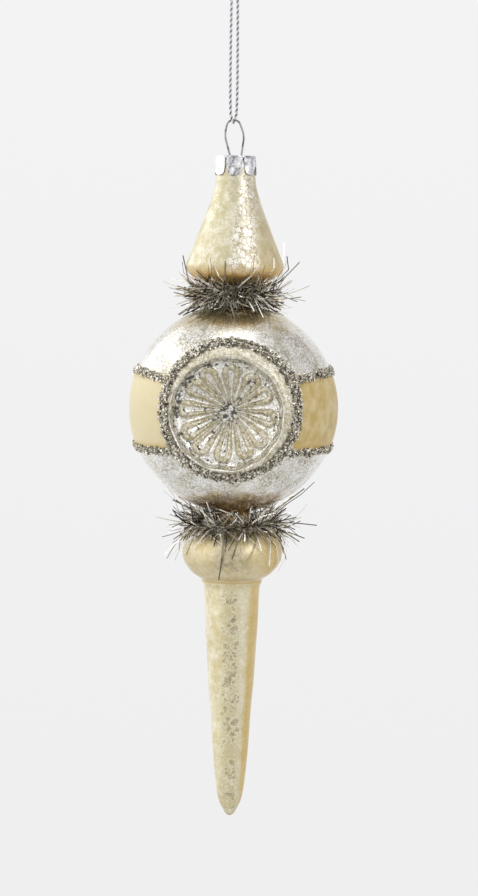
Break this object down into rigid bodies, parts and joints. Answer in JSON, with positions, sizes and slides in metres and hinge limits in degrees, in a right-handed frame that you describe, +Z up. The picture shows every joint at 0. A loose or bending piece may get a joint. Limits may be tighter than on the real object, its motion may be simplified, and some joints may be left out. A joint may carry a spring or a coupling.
{
  "type": "icicle hanging ornament",
  "caption": "Blown glass hanging ornament: cone finial, reflector ball with glitter bands and an icicle drop, tinsel at both necks, metal cap and cord loop.",
  "frame": {"origin": "inside the cord loop just under its knot, where a hook or a branch carries the ornament", "axes": "+Z up along the hanging cord, the front reflector faces -Y, +X to the right seen from the front"},
  "size_m": [0.0704, 0.0598, 0.2865],
  "materials": {
    "gold_mercury_glass": "gloss",
    "silver_mercury_glass": "gloss",
    "champagne_mercury_glass": "satin",
    "cap_metal": "polished",
    "wire_steel": "satin",
    "metallic_cord": "satin",
    "silver_glitter": "gloss",
    "gold_enamel": "satin",
    "tinsel_wire": "satin",
    "tinsel_foil": "satin"
  },
  "bodies": {
    "knot": {"cord_knot": "metallic_cord"},
    "cord": {"hanging_cord": "metallic_cord"},
    "hanger": {"hanger_wire": "wire_steel", "cap": "cap_metal"},
    "glass": {"finial_glass": "gold_mercury_glass", "ball_glass": "silver_mercury_glass", "drop_glass": "champagne_mercury_glass", "glitter_ring_front": "silver_glitter", "glitter_ring_back": "silver_glitter", "glitter_band_upper_left": "silver_glitter", "glitter_band_upper_right": "silver_glitter", "glitter_band_lower_left": "silver_glitter", "glitter_band_lower_right": "silver_glitter", "band_panel_left": "gold_enamel", "band_panel_right": "gold_enamel", "tinsel_upper_core": "tinsel_wire", "tinsel_lower_core": "tinsel_wire", "tinsel_upper_fringe": "tinsel_foil", "tinsel_lower_fringe": "tinsel_foil"}
  },
  "joints": [
    {"name": "cord_twist", "type": "hinge", "parent": "knot", "child": "cord", "pos_m": [0, 0, 0], "axis": [0, 0, 1], "range_deg": [-180, 180]},
    {"name": "ornament_swing", "type": "hinge", "parent": "cord", "child": "hanger", "pos_m": [0, 0, -0.0422], "axis": [1, 0, 0], "range_deg": [-60, 60]},
    {"name": "cap_pull", "type": "slide", "parent": "hanger", "child": "glass", "axis": [0, 0, -1], "range_m": [0, 0.02]}
  ]
}
